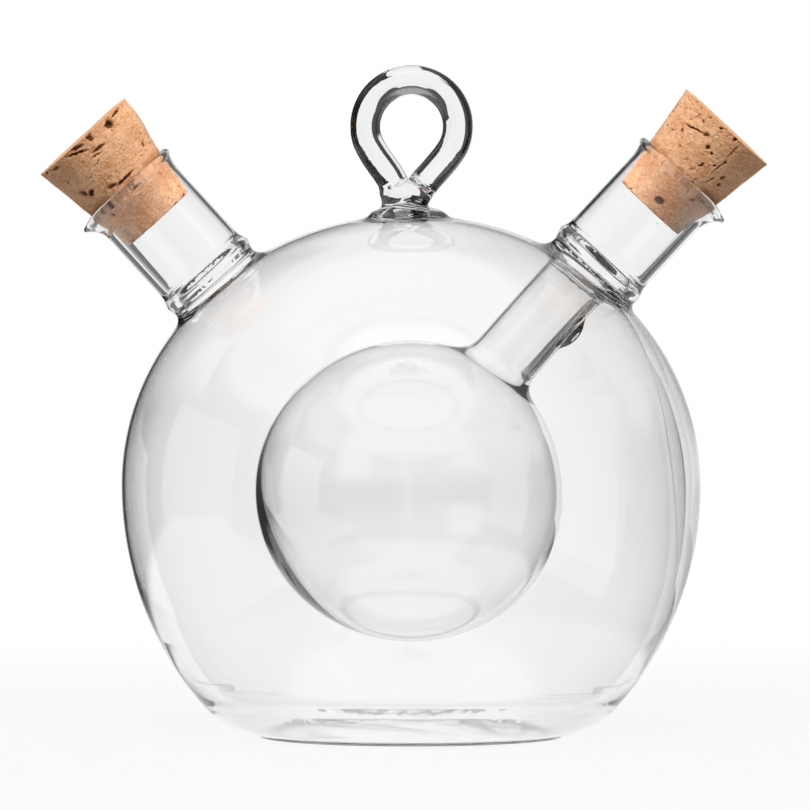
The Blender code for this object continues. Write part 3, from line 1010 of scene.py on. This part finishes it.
class Nodes:
    """Short calls for building a node tree."""

    def __init__(self, tree):
        self.tree = tree

    def fill(self, node, inputs):
        """Joins a node's inputs to sockets, or sets them to values."""
        for name, value in dict(inputs).items():
            if isinstance(value, bpy.types.NodeSocket):
                self.tree.links.new(value, node.inputs[name])
            else:
                node.inputs[name].default_value = value

    def add(self, kind, inputs=(), **settings):
        made = self.tree.nodes.new("ShaderNode" + kind)
        for name, value in settings.items():
            setattr(made, name, value)
        self.fill(made, inputs)
        return made

    def math(self, operation, *values):
        return self.add("Math", enumerate(values), operation=operation).outputs[0]

    def ease(self, value, start, end, low=0.0, high=1.0):
        """Goes smoothly from low to high as value goes from start to end."""
        ends = {"From Min": start, "From Max": end, "To Min": low, "To Max": high}
        made = self.add("MapRange", {"Value": value, **ends}, interpolation_type="SMOOTHSTEP")
        return made.outputs["Result"]


def emptied(owner):
    """Short calls for the emptied node tree of a material or world."""
    owner.use_nodes = True
    owner.node_tree.nodes.clear()
    return Nodes(owner.node_tree)


def glass_material():
    """Clear glass that darkens what passes a long way through it."""
    material = bpy.data.materials.new("clear_glass")
    material.use_nodes = True
    tree = material.node_tree
    nodes = Nodes(tree)
    clear = {"Base Color": WHITE, "Roughness": 0.0, "Transmission Weight": 1.0}
    nodes.fill(tree.nodes["Principled BSDF"], {**clear, "IOR": GLASS_IOR})
    absorb = nodes.add("VolumeAbsorption", {"Color": GLASS_TINT, "Density": GLASS_DENSITY})
    nodes.fill(tree.nodes["Material Output"], {"Volume": absorb.outputs["Volume"]})
    return material


def cork_material():
    """Warm tan cork: layers of cloudy colour, rusty to dark walls in the pits, and rust with
    painted shade where the neck's rim presses.
    """
    material = bpy.data.materials.new("natural_cork")
    material.use_nodes = True
    tree = material.node_tree
    nodes = Nodes(tree)
    grain = nodes.add("Attribute", attribute_name="grain").outputs["Vector"]
    pit_stain_and_shade = nodes.add("Attribute", attribute_name="pit_stain_and_shade").outputs["Fac"]

    def cloud(scale, detail, squeeze=1.0):
        made = nodes.add("VectorMath", {0: grain, 1: (1.0, 1.0, squeeze)}, operation="MULTIPLY")
        sockets = {"Vector": made.outputs[0], "Scale": scale, "Detail": detail}
        return nodes.add("TexNoise", {**sockets, "Roughness": CLOUD_ROUGHNESS}).outputs["Fac"]

    def layer(scale, detail, squeeze, start, full, share):
        shown = nodes.ease(cloud(scale, detail, squeeze), start, full)
        return nodes.math("MULTIPLY", shown, share)

    def blend(share, first, second):
        sockets = {0: share, MIX_FIRST: first, MIX_SECOND: second}
        return nodes.add("Mix", sockets, data_type="RGBA").outputs[MIX_RESULT]

    colour = blend(layer(*WARM_PATCHES), CORK_PALE, CORK_WARM)
    rise = nodes.add("SeparateXYZ", {"Vector": grain}).outputs["Z"]
    ochre = nodes.math("MULTIPLY", layer(*OCHRE_STAINS), nodes.ease(rise, *OCHRE_HEIGHTS))
    colour = blend(ochre, colour, CORK_OCHRE)
    colour = blend(layer(*FAINT_STREAKS), colour, CORK_STREAK)
    colour = blend(layer(*BROWN_FLECKS), colour, CORK_BROWN)
    colour = blend(layer(*LIGHT_SPECKS), colour, CORK_LIGHT)
    # The rusty colour also carries the painted shade at the neck's rim
    rust = nodes.math("MULTIPLY", nodes.ease(pit_stain_and_shade, *RUST_PITS), RUST_SHARE)
    colour = blend(rust, colour, CORK_RUST)
    colour = blend(nodes.ease(pit_stain_and_shade, *DARK_PITS), colour, CORK_DARK)
    roughness = nodes.ease(cloud(*CORK_ROUGHNESS_CLOUD), *CORK_ROUGHNESS)
    grit = {"Height": cloud(*CORK_BUMP_CLOUD), "Distance": CORK_BUMP}
    bump = nodes.add("Bump", {**grit, "Strength": CORK_BUMP_STRENGTH})
    look = {"Base Color": colour, "Roughness": roughness, "Normal": bump.outputs[0]}
    nodes.fill(tree.nodes["Principled BSDF"], {**look, "Specular IOR Level": CORK_GLOSS})
    return material


def mirrored_ray(nodes, path):
    """1 for rays that a surface mirrored, and 0 for those that came through it."""
    bounced = nodes.math("SUBTRACT", 1.0, path["Is Transmission Ray"])
    return nodes.math("MULTIPLY", path["Is Glossy Ray"], bounced)


def card_level(nodes, cards):
    """How bright each direction is with these cards laid over white."""
    place = nodes.add("TexCoord").outputs["Generated"]
    x, y, z = nodes.add("SeparateXYZ", {"Vector": place}).outputs
    flat = nodes.add("CombineXYZ", {"X": x, "Y": y}).outputs[0]
    flat = nodes.add("VectorMath", {0: flat}, operation="NORMALIZE").outputs[0]
    rise = nodes.math("DEGREES", nodes.math("ARCSINE", z))
    brightness = 1.0
    for bearing, half_width, low, high, soft, card in cards:
        turn = math.radians(bearing)
        facing = (math.sin(turn), math.cos(turn), 0.0)
        ahead = nodes.add("VectorMath", {0: flat, 1: facing}, operation="DOT_PRODUCT")
        off = nodes.math("DEGREES", nodes.math("ARCCOSINE", ahead.outputs["Value"]))
        cover = nodes.ease(off, half_width + soft, half_width - soft)
        cover = nodes.math("MULTIPLY", cover, nodes.ease(rise, low - soft, low + soft))
        cover = nodes.math("MULTIPLY", cover, nodes.ease(rise, high + soft, high - soft))
        bare = nodes.math("MULTIPLY", nodes.math("SUBTRACT", 1.0, cover), brightness)
        brightness = nodes.math("ADD", bare, nodes.math("MULTIPLY", cover, card))
    return brightness


def studio_world():
    """White to the eye, with cards that only the glass shows and a soft light on the corks."""
    world = bpy.data.worlds.new("studio")
    bpy.context.scene.world = world
    nodes = emptied(world)
    path = nodes.add("LightPath").outputs
    matt = nodes.math("GREATER_THAN", path["Diffuse Depth"], 0.5)
    clear = nodes.math("SUBTRACT", 1.0, matt)
    crossed = path["Is Transmission Ray"]
    seen = nodes.math("MULTIPLY", crossed, card_level(nodes, CARDS_SEEN_THROUGH))
    mirrored = nodes.math("MULTIPLY", mirrored_ray(nodes, path), card_level(nodes, CARDS_MIRRORED))
    through = nodes.math("MULTIPLY", clear, nodes.math("ADD", seen, mirrored))
    place = nodes.add("TexCoord").outputs["Generated"]
    rise = nodes.add("SeparateXYZ", {"Vector": place}).outputs["Z"]
    direct = nodes.ease(rise, 0.0, FILL_RISE, FILL_LOW, FILL_HIGH)
    direct = nodes.math("MULTIPLY", path["Is Diffuse Ray"], direct)
    inward = nodes.ease(rise, 0.0, FILL_RISE, FILL_THROUGH_GLASS, TOP_FILL_THROUGH_GLASS)
    inward = nodes.math("MULTIPLY", nodes.math("MULTIPLY", matt, crossed), inward)
    filling = nodes.math("ADD", direct, inward)
    strength = nodes.math("ADD", nodes.math("ADD", through, filling), path["Is Camera Ray"])
    back = nodes.add("Background", {"Color": WHITE, "Strength": strength})
    nodes.add("OutputWorld", {"Surface": back.outputs[0]})


def panel(name, brightness, corners, softness=0.0, mirrored=True):
    """A card or panel that only the glass shows. All its edges but the first can be soft."""
    mesh = bpy.data.meshes.new(name)
    mesh.from_pydata(corners, [], [range(4)])
    obj = added(name, mesh)
    width, height = (corners[1] - corners[0]).length, (corners[2] - corners[1]).length
    spread = mesh.uv_layers.new(name="spread")
    for place, (across, up) in enumerate(((0, 0), (width, 0), (width, height), (0, height))):
        spread.data[place].uv = (across, up)
    material = bpy.data.materials.new(name)
    nodes = emptied(material)
    surface = nodes.add("Emission", {"Color": WHITE, "Strength": brightness}).outputs[0]
    if softness:
        place = nodes.add("TexCoord").outputs["UV"]
        across, up, _ = nodes.add("SeparateXYZ", {"Vector": place}).outputs
        solid = nodes.ease(across, 0, softness)
        solid = nodes.math("MULTIPLY", solid, nodes.ease(across, width, width - softness))
        solid = nodes.math("MULTIPLY", solid, nodes.ease(up, height, height - softness))
        open_air = nodes.add("BsdfTransparent").outputs[0]
        surface = nodes.add("MixShader", {0: solid, 1: open_air, 2: surface}).outputs[0]
    nodes.add("OutputMaterial", {"Surface": surface})
    mesh.materials.append(material)
    obj.visible_camera = False
    obj.visible_diffuse = False
    obj.visible_shadow = False
    obj.visible_glossy = mirrored


def upright(name, turn, left, right, low, high, mirrored=True):
    """A white panel that stands behind the bottle, at this turn about +Z."""
    spin = Matrix.Rotation(turn, 3, "Z")
    places = ((left, low), (right, low), (right, high), (left, high))
    corners = [spin @ Vector((across, PANEL_DISTANCE, up)) for across, up in places]
    panel(name, PANEL_WHITE, corners, PANEL_SOFTNESS, mirrored)


def sheet(name, turn, left, right):
    """A white sheet on the floor that runs back from the bottle to just past the panel."""
    spin = Matrix.Rotation(turn, 3, "Z")
    end = PANEL_DISTANCE + SHEET_SOFTNESS
    places = ((left, SHEET_START), (right, SHEET_START), (right, end), (left, end))
    corners = [spin @ Vector((across, back, 0.0)) for across, back in places]
    panel(name, PANEL_WHITE, corners, SHEET_SOFTNESS)


def stage_panels():
    """White panels behind the bottle and at its left, and a black card behind the loop."""
    for place, ends in enumerate(BACK_PANELS):
        upright(f"back_panel_{place}", 0.0, *ends)
    sheet("back_sheet", 0.0, *BACK_SHEET_ENDS)
    quarter = math.radians(90)
    ends = (-SIDE_PANEL_REACH, SIDE_PANEL_REACH)
    upright("side_panel", quarter, *ends, 0.0, SIDE_PANEL_HEIGHT, mirrored=False)
    sheet("side_sheet", quarter, *ends)
    x, low, high = LOOP_CARD_X, LOOP_CARD_LOW, LOOP_CARD_HIGH
    start, end = LOOP_CARD_START, LOOP_CARD_END
    places = ((start, low), (end, low), (end, high), (start, high))
    panel("loop_card", 0.0, [Vector((x, back, up)) for back, up in places])


def stage_floor():
    """A pale round floor that fades into the white backdrop, keeps the bottle's shadow and has a
    painted ring of shadow at its foot.
    """
    mesh = bpy.data.meshes.new("stage_floor")
    corners = []
    for step in range(FLOOR_SIDES):
        angle = 2 * math.pi * step / FLOOR_SIDES
        across, back = FLOOR_RADIUS * math.cos(angle), FLOOR_RADIUS * math.sin(angle)
        corners.append((across, back, FLOOR_HEIGHT))
    mesh.from_pydata(corners, [], [range(FLOOR_SIDES)])
    obj = added("stage_floor", mesh)
    material = bpy.data.materials.new("stage_floor")
    nodes = emptied(material)
    place = nodes.add("TexCoord").outputs["Object"]
    far = nodes.add("VectorMath", {0: place}, operation="LENGTH").outputs["Value"]
    share = nodes.ease(far, FLOOR_FADE_START, FLOOR_RADIUS, FLOOR_SHADE_SHARE, 0.0)
    # Painted contact shadow: in a ring where the bottle touches, more of the dark matt floor
    # shows, over the real shadow it keeps
    painted_shadow = nodes.ease(far, *PAINTED_SHADOW_INSIDE)
    painted_shadow = nodes.math("MULTIPLY", painted_shadow, nodes.ease(far, *PAINTED_SHADOW_OUTSIDE))
    share = nodes.math("MAXIMUM", share, nodes.math("MULTIPLY", painted_shadow, PAINTED_SHADOW_STRENGTH))
    path = nodes.add("LightPath").outputs
    glow = nodes.add("Emission", {"Color": WHITE, "Strength": 1.0}).outputs[0]
    matt = nodes.add("BsdfDiffuse", {"Color": FLOOR_COLOUR}).outputs[0]
    lit = nodes.math("MAXIMUM", share, path["Is Diffuse Ray"])
    mixed = nodes.add("MixShader", {0: lit, 1: glow, 2: matt}).outputs[0]
    open_share = nodes.ease(far, FLOOR_OPEN_START, FLOOR_OPEN_END)
    open_share = nodes.math("MULTIPLY", open_share, path["Is Glossy Ray"])
    clear = nodes.add("BsdfTransparent").outputs[0]
    mixed = nodes.add("MixShader", {0: open_share, 1: mixed, 2: clear}).outputs[0]
    nodes.add("OutputMaterial", {"Surface": mixed})
    mesh.materials.append(material)


def softbox(name, place, size, watts):
    data = bpy.data.lights.new(name, "AREA")
    data.shape = "RECTANGLE"
    data.size, data.size_y = size
    data.energy = watts
    obj = added(name, data)
    obj.location = place
    obj.rotation_mode = "QUATERNION"
    obj.rotation_quaternion = (TARGET - place).to_track_quat("-Z", "Y")
    obj.visible_glossy = False
    obj.visible_transmission = False


def camera():
    """The photograph's view: far away, a little above the bottle's middle."""
    data = bpy.data.cameras.new("camera")
    obj = added("camera", data)
    back = Vector((0, -math.cos(CAMERA_ELEVATION), math.sin(CAMERA_ELEVATION)))
    obj.location = TARGET + back * CAMERA_DISTANCE
    obj.rotation_mode = "QUATERNION"
    obj.rotation_quaternion = (-back).to_track_quat("-Z", "Y")
    data.sensor_width = SENSOR_WIDTH
    data.lens = SENSOR_WIDTH * CAMERA_DISTANCE / FRAME_WIDTH
    data.clip_start, data.clip_end = CAMERA_CLIP
    bpy.context.scene.camera = obj


bottle = fused_glass()
bottle.data.materials.clear()
bottle.data.materials.append(glass_material())
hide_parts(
    "globe",
    "left_neck",
    "right_neck",
    "inner_bulb",
    "inner_stem",
    "loop_foot",
    "hanging_loop",
)
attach(bottle, "bottle")
cork_look = cork_material()
noise.seed_set(CORK_SEED)
for side in SIDES:
    stopper = cork(side)
    stopper.data.materials.append(cork_look)
    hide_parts(side + "_cork")
    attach(stopper, side + "_cork")
studio_world()
stage_panels()
stage_floor()
softbox("softbox", SOFTBOX_PLACE, SOFTBOX_SIZE, SOFTBOX_WATTS)
camera()
bpy.context.scene.view_settings.view_transform = "Standard"
